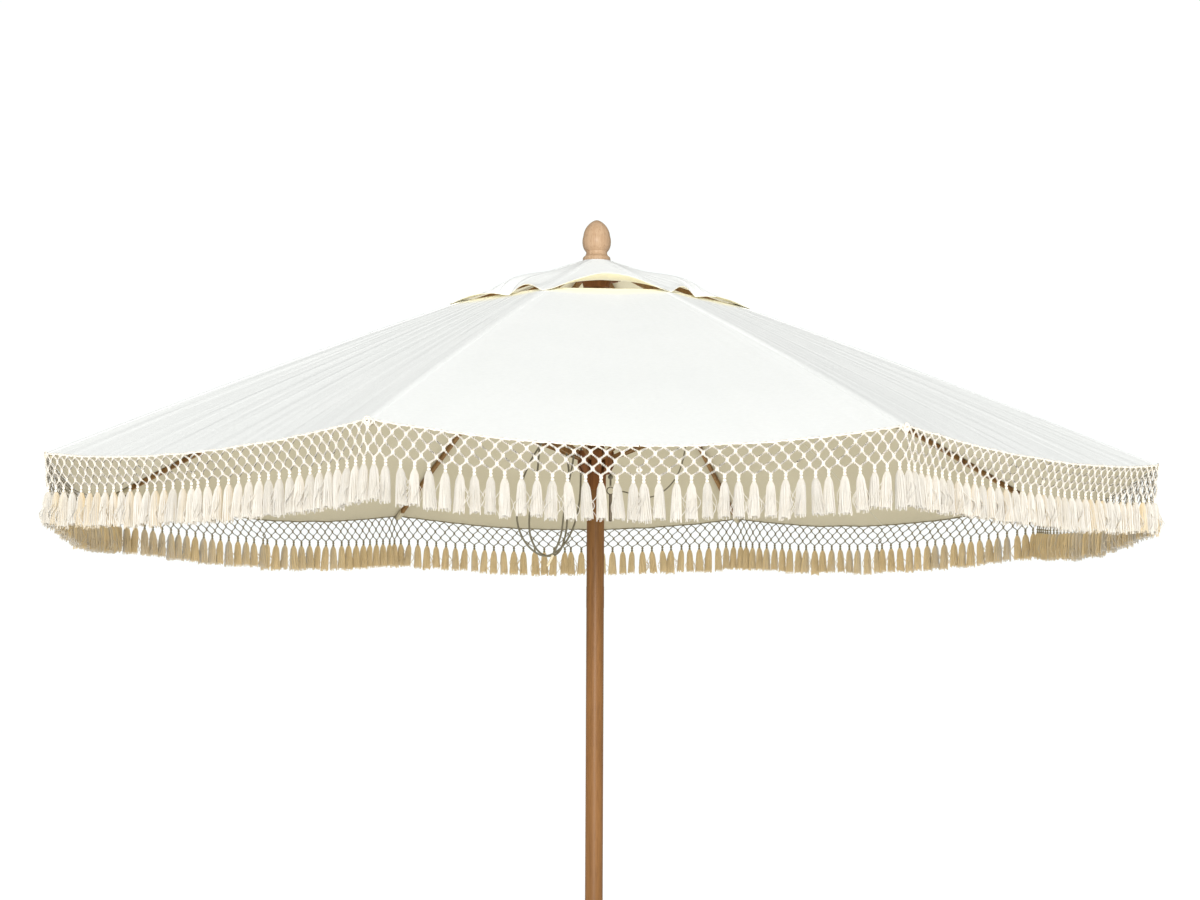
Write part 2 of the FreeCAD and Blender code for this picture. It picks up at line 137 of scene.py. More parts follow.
def noise_at(tree, vector, scale, detail=4.0, roughness=0.55):
    made = node(tree, "ShaderNodeTexNoise", Scale=scale, Detail=detail, Roughness=roughness)
    tree.links.new(vector, made.inputs["Vector"])
    return made.outputs["Fac"]


def ramp(tree, fac, low, high, start=0.3, end=0.7):
    made = tree.nodes.new("ShaderNodeValToRGB")
    made.color_ramp.elements[0].position = start
    made.color_ramp.elements[0].color = (*low, 1)
    made.color_ramp.elements[1].position = end
    made.color_ramp.elements[1].color = (*high, 1)
    tree.links.new(fac, made.inputs["Fac"])
    return made.outputs["Color"]


def math_node(tree, operation, a, b=None, clamp=False):
    made = tree.nodes.new("ShaderNodeMath")
    made.operation, made.use_clamp = operation, clamp
    for i, value in enumerate((a, b)):
        if value is None:
            continue
        if isinstance(value, (int, float)):
            made.inputs[i].default_value = value
        else:
            tree.links.new(value, made.inputs[i])
    return made.outputs[0]


def mix_colour(tree, fac, a, b, how="MIX"):
    made = tree.nodes.new("ShaderNodeMix")
    made.data_type, made.blend_type = "RGBA", how
    for socket, value in ((made.inputs[0], fac), (made.inputs[6], a), (made.inputs[7], b)):
        if isinstance(value, (int, float)):
            socket.default_value = value
        elif isinstance(value, tuple):
            socket.default_value = (*value, 1)
        else:
            tree.links.new(value, socket)
    return made.outputs[2]


def bump(tree, shader, height, distance, strength=1.0):
    made = node(tree, "ShaderNodeBump", Strength=strength, Distance=distance)
    tree.links.new(height, made.inputs["Height"])
    tree.links.new(made.outputs["Normal"], shader.inputs["Normal"])


def wave(tree, vector, scale, direction, distortion=0.0):
    made = node(tree, "ShaderNodeTexWave", Scale=scale, Distortion=distortion)
    made.bands_direction = direction
    tree.links.new(vector, made.inputs["Vector"])
    return made.outputs["Fac"]


FOLDS_ACROSS, FOLDS_ALONG = 26.0, 1.5
# the front panel is pulled the tightest: the folds' share there, and where it ends
TAUT_SHARE, TAUT_FROM, TAUT_TO = 0.12, HALF * 0.86, HALF * 1.05
# painted light: a pale yellow painted on the cloth round the vent's opening stands in for light
# that comes through the cloth's edge there
EDGE_LIGHT_SHARE, EDGE_LIGHT_WIDTH = 0.85, 0.035
THREADS, SLUBS, SOILING = 260, 90, 2.3
WEAVE_HEIGHT, CREASE_HEIGHT = 0.0006, 0.002


def round_the_pole(tree, across, along):
    """Coordinates that run round the pole and outwards from it, for folds and fading."""
    source = tree.nodes.new("ShaderNodeTexCoord")
    turn = tree.nodes.new("ShaderNodeMapping")
    turn.inputs["Rotation"].default_value = (0, 0, HALF)
    parts = tree.nodes.new("ShaderNodeSeparateXYZ")
    tree.links.new(source.outputs["Object"], turn.inputs["Vector"])
    tree.links.new(turn.outputs["Vector"], parts.inputs["Vector"])
    x, y = parts.outputs["X"], parts.outputs["Y"]
    angle = math_node(tree, "ARCTAN2", x, math_node(tree, "MULTIPLY", y, -1.0))
    square = math_node(tree, "ADD", math_node(tree, "MULTIPLY", x, x),
                       math_node(tree, "MULTIPLY", y, y))
    radius = math_node(tree, "SQRT", square)
    both = tree.nodes.new("ShaderNodeCombineXYZ")
    tree.links.new(math_node(tree, "MULTIPLY", angle, across), both.inputs["X"])
    tree.links.new(math_node(tree, "MULTIPLY", radius, along), both.inputs["Y"])
    return both.outputs["Vector"], radius, angle


def cloth_material(name, low, high, weave=0.35, creases=0.0, edge_light_paint=None):
    """Plain-woven canvas: warp and weft threads, slubs, radial creases and faint soiling."""
    material, tree, shader = new_material(name, roughness=0.9, sheen=0.15)
    vector = object_coords(tree)
    threads = math_node(
        tree, "ADD", wave(tree, vector, THREADS, "X", 0.4), wave(tree, vector, THREADS, "Y", 0.4)
    )
    slubs = noise_at(tree, object_coords(tree, (1, 1, 6)), SLUBS, 5)
    height = math_node(tree, "ADD", math_node(tree, "MULTIPLY", threads, 0.5), slubs)
    tone = ramp(tree, noise_at(tree, vector, SOILING, 6), low, high)
    fine = ramp(tree, slubs, (0.95, 0.95, 0.95), (1, 1, 1))
    tone = mix_colour(tree, 1.0, tone, fine, "MULTIPLY")
    if creases:
        polar, radius, angle = round_the_pole(tree, FOLDS_ACROSS, FOLDS_ALONG)
        folds = noise_at(tree, polar, 1.0, 2, 0.5)
        slack = tree.nodes.new("ShaderNodeMapRange")
        slack.inputs["From Min"].default_value = TAUT_FROM
        slack.inputs["From Max"].default_value = TAUT_TO
        slack.inputs["To Min"].default_value = TAUT_SHARE
        from_front = math_node(tree, "ABSOLUTE", math_node(tree, "SUBTRACT", angle, HALF))
        tree.links.new(from_front, slack.inputs["Value"])
        folds = math_node(tree, "MULTIPLY", folds, slack.outputs["Result"])
        height = math_node(tree, "ADD", math_node(tree, "MULTIPLY", height, weave * 0.3),
                           math_node(tree, "MULTIPLY", folds, creases))
        # painted light: the cloth's colour turns pale yellow close to the vent's opening
        if edge_light_paint:
            fade = tree.nodes.new("ShaderNodeMapRange")
            fade.inputs["From Min"].default_value = HOLE_R
            fade.inputs["From Max"].default_value = HOLE_R + EDGE_LIGHT_WIDTH
            fade.inputs["To Min"].default_value = EDGE_LIGHT_SHARE
            fade.inputs["To Max"].default_value = 0.0
            tree.links.new(radius, fade.inputs["Value"])
            tone = mix_colour(tree, fade.outputs["Result"], tone, edge_light_paint)
    tree.links.new(tone, shader.inputs["Base Color"])
    if creases:
        bump(tree, shader, height, CREASE_HEIGHT)
    else:
        bump(tree, shader, height, WEAVE_HEIGHT, weave)
    return material


# how fast the cotton turns from its outer colour to its inner one, which is painted shade, by the
# way a surface faces
COTTON_TURN, COTTON_OFFSET = 2.2, 0.95
FIBRES, BLOTCHES, FIBRE_HEIGHT = 900, 34, 0.0008


def cotton_material(name, outside, inside):
    """Twisted cotton: fibres along the strands, paler outside; the darker, warmer colour on sides
    that face the pole is painted shade for the canopy's shelter.
    """
    material, tree, shader = new_material(name, roughness=0.93, sheen=0.3)
    vector = object_coords(tree, (1, 1, 0.25))
    fibres = noise_at(tree, vector, FIBRES, 3)
    blotch = noise_at(tree, object_coords(tree), BLOTCHES, 4)
    coords = tree.nodes.new("ShaderNodeTexCoord")
    flat = tree.nodes.new("ShaderNodeVectorMath")
    flat.operation = "MULTIPLY"
    flat.inputs[1].default_value = (1, 1, 0)
    tree.links.new(coords.outputs["Object"], flat.inputs[0])
    outward = tree.nodes.new("ShaderNodeVectorMath")
    outward.operation = "NORMALIZE"
    tree.links.new(flat.outputs[0], outward.inputs[0])
    facing = tree.nodes.new("ShaderNodeVectorMath")
    facing.operation = "DOT_PRODUCT"
    tree.links.new(outward.outputs[0], facing.inputs[0])
    tree.links.new(coords.outputs["Normal"], facing.inputs[1])
    # painted shade: a surface that faces in towards the pole takes the inner colour
    side = math_node(tree, "MULTIPLY_ADD", facing.outputs["Value"], COTTON_TURN, clamp=True)
    side.node.inputs[2].default_value = COTTON_OFFSET
    tone = mix_colour(tree, side, inside, outside)
    shade = ramp(tree, blotch, (0.93, 0.92, 0.89), (1, 1, 1))
    tone = mix_colour(tree, 1.0, tone, shade, "MULTIPLY")
    deep = ramp(tree, fibres, (0.90, 0.88, 0.85), (1, 1, 1), 0.25, 0.6)
    tree.links.new(mix_colour(tree, 1.0, tone, deep, "MULTIPLY"), shader.inputs["Base Color"])
    bump(tree, shader, fibres, FIBRE_HEIGHT, 0.5)
    return material


GRAIN, PORES, GRAIN_HEIGHT = 55, 420, 0.0004
GRAIN_STRETCH = (1, 1, 0.05)


def wood_material(name, dark, light, roughness, coat):
    """Turned or sawn hardwood: long wavy grain, fine pores and a thin varnish."""
    material, tree, shader = new_material(name, roughness=roughness, coat=coat)
    shader.inputs["Coat Roughness"].default_value = 0.3
    shader.inputs["Specular IOR Level"].default_value = 0.2
    vector = object_coords(tree, GRAIN_STRETCH)
    grain = noise_at(tree, vector, GRAIN, 7, 0.6)
    pores = noise_at(tree, vector, PORES, 3)
    tone = ramp(tree, grain, dark, light, 0.32, 0.68)
    fine = ramp(tree, pores, (0.72, 0.66, 0.6), (1, 1, 1), 0.3, 0.48)
    tree.links.new(mix_colour(tree, 0.8, tone, fine, "MULTIPLY"), shader.inputs["Base Color"])
    rough = math_node(tree, "MULTIPLY_ADD", pores, 0.25)
    rough.node.inputs[2].default_value = roughness - 0.12
    tree.links.new(rough, shader.inputs["Roughness"])
    bump(tree, shader, math_node(tree, "ADD", grain, pores), GRAIN_HEIGHT, 0.35)
    return material


SCRATCHES, TARNISH, SCRATCH_HEIGHT = 700, 60, 0.0002


def metal_material(name, colour, roughness):
    """Metal with fine scratches and a slight tarnish."""
    material, tree, shader = new_material(name, roughness=roughness, metallic=1.0)
    vector = object_coords(tree, (1, 1, 0.3))
    scratches = noise_at(tree, vector, SCRATCHES, 4)
    tarnish = noise_at(tree, object_coords(tree), TARNISH, 4)
    dull = tuple(c * 0.55 for c in colour)
    tree.links.new(ramp(tree, tarnish, dull, colour), shader.inputs["Base Color"])
    bump(tree, shader, scratches, SCRATCH_HEIGHT, 0.3)
    return material


BRAID, BRAID_HEIGHT = 900, 0.0006


def cord_material(name, dark, light):
    """Braided cord."""
    material, tree, shader = new_material(name, roughness=0.8, sheen=0.2)
    vector = object_coords(tree)
    braid = noise_at(tree, vector, BRAID, 2)
    tree.links.new(ramp(tree, braid, dark, light), shader.inputs["Base Color"])
    bump(tree, shader, braid, BRAID_HEIGHT, 0.5)
    return material


# ---- mesh building ----
SHARP_ANGLE_DEG = 50


def make_piece(name, points, faces, materials, face_materials=None):
    """A piece from its mesh; a quad whose last two corners are one point is a triangle."""
    mesh = bpy.data.meshes.new(name)
    corners = [f[:3] if f[2] == f[3] else f for f in faces]
    mesh.from_pydata(np.asarray(points).tolist(), [], corners)
    for material in materials:
        mesh.materials.append(material)
    if face_materials is not None:
        mesh.polygons.foreach_set("material_index", face_materials)
    mesh.polygons.foreach_set("use_smooth", [True] * len(mesh.polygons))
    mesh.update()
    mesh.set_sharp_from_angle(angle=math.radians(SHARP_ANGLE_DEG))
    piece = bpy.data.objects.new(name, mesh)
    bpy.context.collection.objects.link(piece)
    return piece


class Soup:
    """Gathers points and faces of many small parts into one mesh."""

    def __init__(self):
        self.points, self.faces, self.count = [], [], 0

    def add(self, points, faces):
        self.points.append(np.asarray(points))
        self.faces.append(np.asarray(faces) + self.count)
        self.count += len(points)


def grid_faces(rows, columns, wrap=False, flip=False):
    """Quads of a grid of points, row by row; wrap joins the last column to the first."""
    faces = []
    for i in range(rows - 1):
        for j in range(columns if wrap else columns - 1):
            k = (j + 1) % columns
            quad = (i * columns + j, i * columns + k, (i + 1) * columns + k, (i + 1) * columns + j)
            faces.append(quad[::-1] if flip else quad)
    return np.array(faces)


def tube(path, radius, sides=6, lobes=0, twist=0.0, depth=0.0):
    """Points and quads of a closed tube along a path, with twisted strands if it has lobes."""
    path = np.asarray(path, float)
    radius = np.broadcast_to(np.asarray(radius, float), len(path))
    way = np.gradient(path, axis=0)
    way /= np.linalg.norm(way, axis=1)[:, None]
    side = np.cross(way[0], (0.3, 0.9, 0.1) if abs(way[0][1]) < 0.9 else (1, 0, 0))
    rows, run = [], 0.0
    angles = np.arange(sides) * 2 * math.pi / sides
    for i, here in enumerate(path):
        side = side - way[i] * (side @ way[i])
        side /= np.linalg.norm(side)
        other = np.cross(way[i], side)
        if i:
            run += np.linalg.norm(here - path[i - 1])
        turned = angles + twist * run
        shape = radius[i] * (1 + depth * np.cos(lobes * angles)) if lobes else radius[i]
        rows.append(
            here
            + (np.cos(turned) * shape)[:, None] * side
            + (np.sin(turned) * shape)[:, None] * other
        )
    points = np.concatenate(rows + [path[:1], path[-1:]])
    faces = grid_faces(len(path), sides, wrap=True).tolist()
    first, last, end = len(points) - 2, len(points) - 1, (len(path) - 1) * sides
    for j in range(sides):
        k = (j + 1) % sides
        faces.append((first, k, j, j))
        faces.append((last, end + j, end + k, end + k))
    return points, faces


def azimuth(k):
    return math.radians(360 / PANELS * (k - 1.5))


def to_world(points, k):
    """From a rib's own frame (out, across, up) to the row frame."""
    a = azimuth(k)
    points = np.asarray(points)
    out = np.array((math.sin(a), -math.cos(a), 0))
    across = np.array((math.cos(a), math.sin(a), 0))
    return points[:, :1] * out + points[:, 1:2] * across + points[:, 2:] * np.array((0, 0, 1))


# ---- the cloth's shape ----
def ridge_z(r):
    """Height of the cloth's outer face on a rib's line."""
    along = (r - ROOT_R) / ALONG[0]
    share = along / SPAN
    rise = 4 * RIB_BOW * share * (1 - share) + CLOTH_ABOVE_RIB
    return ROOT_Z + along * ALONG[1] + rise / ALONG[0]


def ripple(x, y, seed, across, along):
    """Fine folds that run from the hub to the hem."""
    angle, r = math.atan2(y, x), math.hypot(x, y)
    return noise.noise(Vector((angle * across, r * along, seed)))


def settled(c):
    """c for the folds' noise, levelling off so that two halves meet without a crease."""
    return c - max(0, c - 0.9) ** 2 / 0.2


def spot(r, middle, c, s, k):
    """Where the folds' noise is read for a point of the cloth, in the row frame."""
    c = settled(c)
    point = (r + (middle * math.cos(HALF) - r) * c, s * middle * math.sin(HALF) * c, 0)
    return to_world([point], k)[0][:2]


def panel_of(k, s):
    """The panel on one side of a rib."""
    return k if s > 0 else (k - 2) % PANELS + 1


OTHER_DIP, BILLOW = 0.045, 0.005
# height, seed, and how often they repeat across and along
CANOPY_FOLDS = ((0.0022, 3.1, 15, 1.3), (0.0009, 8.7, 38, 2.0))
VENT_FOLD = (0.002, 6.3, 7, 2.2)
PUCKER_HEIGHT = 0.0010


def main_cloth(t, c, s, k):
    """The main canopy at t from its hole to its hem, c from the rib to the panel's middle."""
    r = HOLE_R + (HEM_R - HOLE_R) * t
    middle = r * math.cos(HALF) + HEM_REACH * t**3
    x = r + (middle * math.cos(HALF) - r) * c
    y = s * middle * math.sin(HALF) * c
    drop = c * (2 - c)
    dip = HEM_DIPS.get(panel_of(k, s), OTHER_DIP)
    z = ridge_z(r) - (dip * t**2.5 + BILLOW * math.sin(math.pi * t)) * drop
    wx, wy = spot(r, middle, c, s, k)
    # the folds fade out at the seam, and are lower towards the hub
    loose = min(1, c * 7) * (0.25 + 0.75 * t)
    for height, seed, across, along in CANOPY_FOLDS:
        z += loose * height * ripple(wx, wy, seed, across, along)
    # short puckers where the hem is gathered to the net
    z += PUCKER_HEIGHT * max(0, t - 0.9) * 10 * min(1, c * 9) * ripple(wx, wy, 5.2, 70, 9)
    return x, y, z


def arch(u, begin, end, sharpness=1.3):
    """A hump between two places, 0 outside them."""
    if not begin < u < end:
        return 0.0
    return math.sin(math.pi * (u - begin) / (end - begin)) ** sharpness


# lifts of a folded flap: its wide arch, its narrow arch, and the hump over the fold
WIDE_ARCH, NARROW_ARCH, FOLD_HUMP = 0.014, 0.022, 0.033
# a plain flap's lift where VENT_EDGE has none, and how far it hollows behind its edge
OTHER_EDGE, HOLLOW = 0.040, 0.006


def vent_lift(t, u, panel):
    """How far the vent's flap stands off its ribs' plane, u from the panel's left rib to its right.

    Its free edge curls up in one arch, or in a wide and a narrow one with a fold between them.
    """
    if panel in FOLDED_FLAPS:
        fold, mirrored = FOLDED_FLAPS[panel]
        if mirrored:
            u = 1 - u
        edge = WIDE_ARCH * arch(u, 0, fold, 1.1) + NARROW_ARCH * arch(u, fold, 1, 1.2)
        body = FOLD_HUMP * arch(u, fold - 0.40, fold + 0.24, 1.5)
        return edge * t**8 + body * 2 * t**2 * (1 - t**6)
    # each plain flap has its highest place a little to one side
    lean = 0.8 + 0.09 * (panel * 3 % 5)
    edge = VENT_EDGE.get(panel, OTHER_EDGE) * arch(u**lean, 0, 1)
    return edge * t**5 - HOLLOW * math.sin(math.pi * t) * arch(u, 0, 1)


def vent_cloth(t, c, s, k):
    """The vent cap's flap, lifting between the ribs."""
    r = VENT_R0 + (VENT_R1 - VENT_R0) * t
    middle = r * math.cos(HALF)
    x = r + (middle * math.cos(HALF) - r) * c
    y = s * middle * math.sin(HALF) * c
    u = c / 2 if s > 0 else 1 - c / 2
    wx, wy = spot(r, middle, c, s, k)
    z = ridge_z(r) + VENT_LIFT + vent_lift(t, u, panel_of(k, s))
    height, seed, across, along = VENT_FOLD
    z += min(1, c * 6) * t * height * ripple(wx, wy, seed, across, along)
    return x, y, z


def shell(name, surface, k, s, rows, columns, materials):
    """A thin closed sheet: outer face, inner face below it, and its edges."""
    top = np.array([
        surface(i / (rows - 1), j / (columns - 1), s, k)
        for i in range(rows) for j in range(columns)
    ])
    top = to_world(top, k)
    under = top - np.array((0, 0, CLOTH))
    flip = s > 0
    outer = grid_faces(rows, columns, flip=not flip)
    inner = grid_faces(rows, columns, flip=flip) + len(top)
    ring = (
        list(range(columns))
        + [i * columns + columns - 1 for i in range(1, rows)]
        + [(rows - 1) * columns + j for j in range(columns - 2, -1, -1)]
        + [i * columns for i in range(rows - 2, 0, -1)]
    )
    edge, edge_kinds = [], []
    for a, b in zip(ring, ring[1:] + ring[:1]):
        quad = (a, b, b + len(top), a + len(top))
        edge.append(quad if not flip else quad[::-1])
        edge_kinds.append(2 if a // columns == b // columns else 0)
    faces = outer.tolist() + inner.tolist() + edge
    kinds = [0] * len(outer) + [1] * len(inner) + edge_kinds
    return make_piece(name, np.concatenate([top, under]), faces, materials, face_materials=kinds)


def strip_area(surface, k, s):
    """Flat area, width at the outer end and length of a cut piece of cloth."""
    rows, columns = 12, 8
    p = np.array([[surface(i / rows, j / columns, s, k) for j in range(columns + 1)]
                  for i in range(rows + 1)])
    a, b = p[1:, :-1] - p[:-1, :-1], p[:-1, 1:] - p[:-1, :-1]
    area = np.linalg.norm(np.cross(a, b), axis=2).sum()
    width = np.linalg.norm(np.diff(p[-1], axis=0), axis=1).sum()
    length = np.linalg.norm(np.diff(p[:, 0], axis=0), axis=1).sum()
    return area, width, length


def gather(piece):
    """Gives the piece its own copy of its mesh."""
    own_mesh(piece)


def canopy(cloths, vent_cloths):
    pieces = {}
    for k in range(1, PANELS + 1):
        for s in (-1, 1):
            side = "left" if s < 0 else "right"
            for kind, surface, size, cloth_painted_inside in (
                ("canopy", main_cloth, (64, 48), cloths),
                ("vent", vent_cloth, (36, 32), vent_cloths),
            ):
                piece = shell(f"{kind}_{k}_{side}", surface, k, s, *size, cloth_painted_inside)
                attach(piece, f"rib_{k}")
                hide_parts(f"canopy_panel_{k}")
                pieces[kind, k, s] = piece
    return pieces


SEAM_HALF, SEAM_PROUD, SEAM_EDGE, SEAM_THICKNESS = 0.0104, 0.0009, 0.0002, 0.0007
SEAM_WOBBLE = 0.0004


def seam_strip(k, surface, name, rows, material):
    """The flat seam over a rib, where two panels are sewn together."""
    half = SEAM_HALF
    across = (-half, -half * 0.8, 0, half * 0.8, half)
    top = []
    for i in range(rows):
        t = i / (rows - 1)
        x = surface(t, 0, 1, k)[0]
        wobble = SEAM_WOBBLE * noise.noise(Vector((x * 30, k, 0)))
        for y in across:
            c = abs(y) / (x * math.tan(HALF) + 0.01)
            px, _, pz = surface(t, min(1, c), 1, k)
            edge = SEAM_EDGE if abs(y) == half else SEAM_PROUD
            top.append((px, y + wobble, pz + edge + wobble))
    top = to_world(top, k)
    under = top - np.array((0, 0, SEAM_THICKNESS))
    columns = len(across)
    faces = grid_faces(rows, columns, flip=True).tolist()
    faces += (grid_faces(rows, columns) + len(top)).tolist()
    for i in range(rows - 1):
        a, b = i * columns, (i + 1) * columns
        faces.append((a, b, b + len(top), a + len(top)))
        a, b = a + columns - 1, b + columns - 1
        faces.append((b, a, a + len(top), b + len(top)))
    for i in (0, rows - 1):
        for j in range(columns - 1):
            a = i * columns + j
            quad = (a + 1, a, a + len(top), a + 1 + len(top))
            faces.append(quad if i else quad[::-1])
    piece = make_piece(f"{name}_{k}", np.concatenate([top, under]), faces, [material])
    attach(piece, f"rib_{k}")


# ---- net and tassels ----
def hem_point(c, s, k):
    """The hem in a rib's own frame, c from the corner to the side's middle."""
    x, y, z = main_cloth(1, c, s, k)
    return np.array((x, y, z - CLOTH))


# the knots' levels, as shares of the net's drop
LEVELS = (0.0, 0.23, 0.50, 0.77, 1.0)
STRAND_R, OTHER_STRAND_R = {1: 0.0028, 2: 0.0026, 8: 0.0026}, 0.0020
STRAND_TWIST = {"sides": 6, "lobes": 2, "twist": 700, "depth": 0.12}
# half the distance between two strands in a knot, as a share of half a side
SIDE_BY_SIDE = 0.0024
# the share of a level that a strand spends in a knot, at each end
KNOT_SHARE = 0.14
NET_DROP, MIDDLE_RISE, NET_GAP = 0.080, 0.016, 0.002
# it starts a little outside the hem, and its foot hangs further in away from the corner
NET_OUT, NET_IN, NET_IN_MIDDLE = 0.004, 0.005, 0.017
NECK_STEP, BEAD_DROPS, TASSEL_DROP = 0.0035, (0.0030, 0.0105), 0.0140


def net_drop(c):
    return NET_DROP - MIDDLE_RISE * c * (2 - c)


def net_point(c, level, s, k):
    """A point of the net, level being the share of its drop below the hem."""
    p = hem_point(c, s, k)
    p[0] += NET_OUT - level * (NET_IN + NET_IN_MIDDLE * min(1, 3.5 * c))
    p[2] -= net_drop(c) * level + NET_GAP
    return p


def tassel_places(seed):
    """Where the tassels hang along half a side, closer together towards the corner."""
    local = np.random.default_rng(seed)
    even = (np.arange(TASSELS_PER_HALF) + 0.5) / TASSELS_PER_HALF
    return even**1.1 + local.uniform(-0.07, 0.07, TASSELS_PER_HALF) / TASSELS_PER_HALF


def net_strand(here, beside, s, k):
    """A strand that swings from a tassel's line to the knots beside it and back, four times."""
    lean = math.copysign(SIDE_BY_SIDE, beside - here)
    ends = (here + lean, beside - lean)
    path = []
    for n in range(4):
        begin, end = ends if n % 2 == 0 else ends[::-1]
        for m in range(8):
            share = min(1, max(0, (m / 8 - KNOT_SHARE) / (1 - 2 * KNOT_SHARE)))
            ease = share * (0.3 + 2.1 * share - 1.4 * share * share)
            level = LEVELS[n] + (LEVELS[n + 1] - LEVELS[n]) * m / 8
            path.append(net_point(begin + (end - begin) * ease, level, s, k))
    path.append(net_point(here + 0.6 * lean, 1.0, s, k))
    tail = path[-1].copy()
    for n in (1, 2):
        path.append(tail - np.array((0, 0, NECK_STEP * n)))
    return np.array(path)


def ring_shape(major, minor, around, section, stretch=1.0):
    """A small torus with its axis up."""
    points = []
    for i in range(around):
        a = 2 * math.pi * i / around
        for j in range(section):
            b = 2 * math.pi * j / section
            r = major + minor * math.cos(b)
            points.append((r * math.cos(a), r * math.sin(a), minor * stretch * math.sin(b)))
    faces = []
    for i in range(around):
        for j in range(section):
            n, m = (i + 1) % around, (j + 1) % section
            faces.append((i * section + j, n * section + j, n * section + m, i * section + m))
    return np.array(points), np.array(faces)


def ball_shape(radius, height, around=10, rows=6):
    points = [
        (
            radius * math.sin(math.pi * i / (rows - 1)) * math.cos(2 * math.pi * j / around),
            radius * math.sin(math.pi * i / (rows - 1)) * math.sin(2 * math.pi * j / around),
            height * math.cos(math.pi * i / (rows - 1)),
        )
        for i in range(rows) for j in range(around)
    ]
    return np.array(points), grid_faces(rows, around, wrap=True, flip=True)


TASSEL_LENGTH = 0.079
# shares of the length and the radius there
TASSEL_PROFILE = (
    (0, 0.0036), (0.04, 0.0058), (0.10, 0.0075), (0.25, 0.0091), (0.45, 0.0102), (0.75, 0.0112),
    (1.0, 0.0120),
)


def tassel_radius(share):
    return float(np.interp(share, *zip(*TASSEL_PROFILE)))


def make_tassel(seed, strands=26):
    """A cotton tassel hanging from the origin: grooved core, loose strands, neck binding."""
    local = np.random.default_rng(seed)
    soup = Soup()
    around, rows = 16, 9
    core = []
    phase = local.uniform(0, 6)
    girth = local.uniform(0.86, 1.10)
    for i in range(rows):
        share = i / (rows - 1)
        r = tassel_radius(share) * (0.86 if share else 1) * (1 + (girth - 1) * share)
        for j in range(around):
            a = 2 * math.pi * j / around
            g = 1 + 0.10 * math.cos(7 * a + phase + share) * min(1, share * 3)
            core.append((r * g * math.cos(a), r * g * math.sin(a), -share * TASSEL_LENGTH * 0.95))
    core.append((0, 0, -TASSEL_LENGTH * 0.93))
    soup.add(core, grid_faces(rows, around, wrap=True))
    last = (rows - 1) * around
    soup.add(
        [core[last + j] for j in range(around)] + [core[-1]],
        [(j, around, (j + 1) % around, (j + 1) % around) for j in range(around)],
    )
    for n in range(strands):
        a = 2 * math.pi * (n + local.uniform(-0.35, 0.35)) / strands
        length = TASSEL_LENGTH * local.uniform(0.93, 1.05)
        curl, wave_phase = local.uniform(0.04, 0.14), local.uniform(0, 6)
        flare = local.uniform(0.93, 1.08) * girth
        path = []
        for i in range(8):
            share = i / 7
            r = tassel_radius(share) * (1 + (flare - 1) * share)
            turn = a + 0.35 * share + curl * math.sin(5 * share + wave_phase) * share
            path.append((r * math.cos(turn), r * math.sin(turn), -share * length))
        width = local.uniform(0.0010, 0.0014)
        soup.add(*tube(path, [width * 0.9] + [width] * 6 + [width * 0.8], sides=4))
    for _ in range(int(local.integers(1, 7))):
        stray_strand(soup, local)
    return np.concatenate(soup.points), np.concatenate(soup.faces)


STRAY_R = 0.0008


def stray_strand(soup, local):
    """A thin strand that has curled out of its tassel."""
    a, start = local.uniform(0, 6.28), local.uniform(0.15, 0.5)
    reach, bend = local.uniform(0.005, 0.014), local.uniform(2, 6)
    path = []
    for i in range(10):
        share = start + (1 - start) * i / 9
        out = tassel_radius(share) + reach * math.sin(math.pi * i / 9) ** 2
        turn = a + 0.5 * math.sin(bend * share)
        path.append((out * math.cos(turn), out * math.sin(turn), -share * TASSEL_LENGTH * 0.97))
    soup.add(*tube(path, STRAY_R, sides=4))


def turned_about_z(points, turn):
    c, n = math.cos(turn), math.sin(turn)
    return points @ np.array(((c, n, 0), (-n, c, 0), (0, 0, 1)))


# rings: the radius of the ring and of its cord, points round each, and how much it is stretched
KNOT, TOP_LOOP = (0.0018, 0.0012, 9, 5, 1.8), (0.0032, 0.0013, 9, 5)
CORNER_LOOP = (0.0060, 0.0015, 16, 6)
BEAD = (0.0042, 0.0040)


def corner_loops(net, k):
    """The net's end cord, looped over the corner of the rim."""
    shape, quads = ring_shape(*CORNER_LOOP)
    upright = np.stack([shape[:, 2], shape[:, 0], shape[:, 1]], axis=1)
    for turn, drop in ((0.5, 0.002), (-0.6, 0.004), (0.0, 0.007)):
        at = hem_point(0, 1, k) + np.array((0.0045, 0, -drop))
        net.add(turned_about_z(upright, turn) + at, quads)


def hang_half(k, s, variants, net, tassels):
    """Fills the net and the tassels of half a side."""
    knot, loop = ring_shape(*KNOT), ring_shape(*TOP_LOOP)
    bead = ball_shape(*BEAD)
    strand_r = STRAND_R.get(panel_of(k, s), OTHER_STRAND_R)
    places = tassel_places(100 * k + s)
    between = np.concatenate([[0], (places[1:] + places[:-1]) / 2, [1]])
    for i, here in enumerate(places):
        for beside in (between[i], between[i + 1]):
            net.add(*tube(net_strand(here, beside, s, k), strand_r, **STRAND_TWIST))
        net.add(knot[0] + net_point(here, LEVELS[2], s, k), knot[1])
        net.add(loop[0] + net_point(here, 0.0, s, k), loop[1])
        foot = net_point(here, 1.0, s, k)
        for drop in BEAD_DROPS:
            net.add(bead[0] + foot - np.array((0, 0, drop)), bead[1])
        shape, quads = variants[rng.integers(len(variants))]
        p = turned_about_z(shape * rng.uniform(0.95, 1.06), rng.uniform(0, 6.283))
        p[:, 2] *= TASSEL_STRETCH.get(panel_of(k, s), OTHER_STRETCH)
        p[:, :2] -= p[:, 2:] * rng.normal(0, 0.035, 2)
        tassels.add(p + foot - np.array((0, 0, TASSEL_DROP)), quads)
    for i, here in enumerate(between):
        # the knots at both ends are shared with the neighbouring halves
        if s > 0 or 0 < i < TASSELS_PER_HALF:
            for n in (1, 3):
                net.add(knot[0] + net_point(here, LEVELS[n], s, k), knot[1])
    if s > 0:
        corner_loops(net, k)


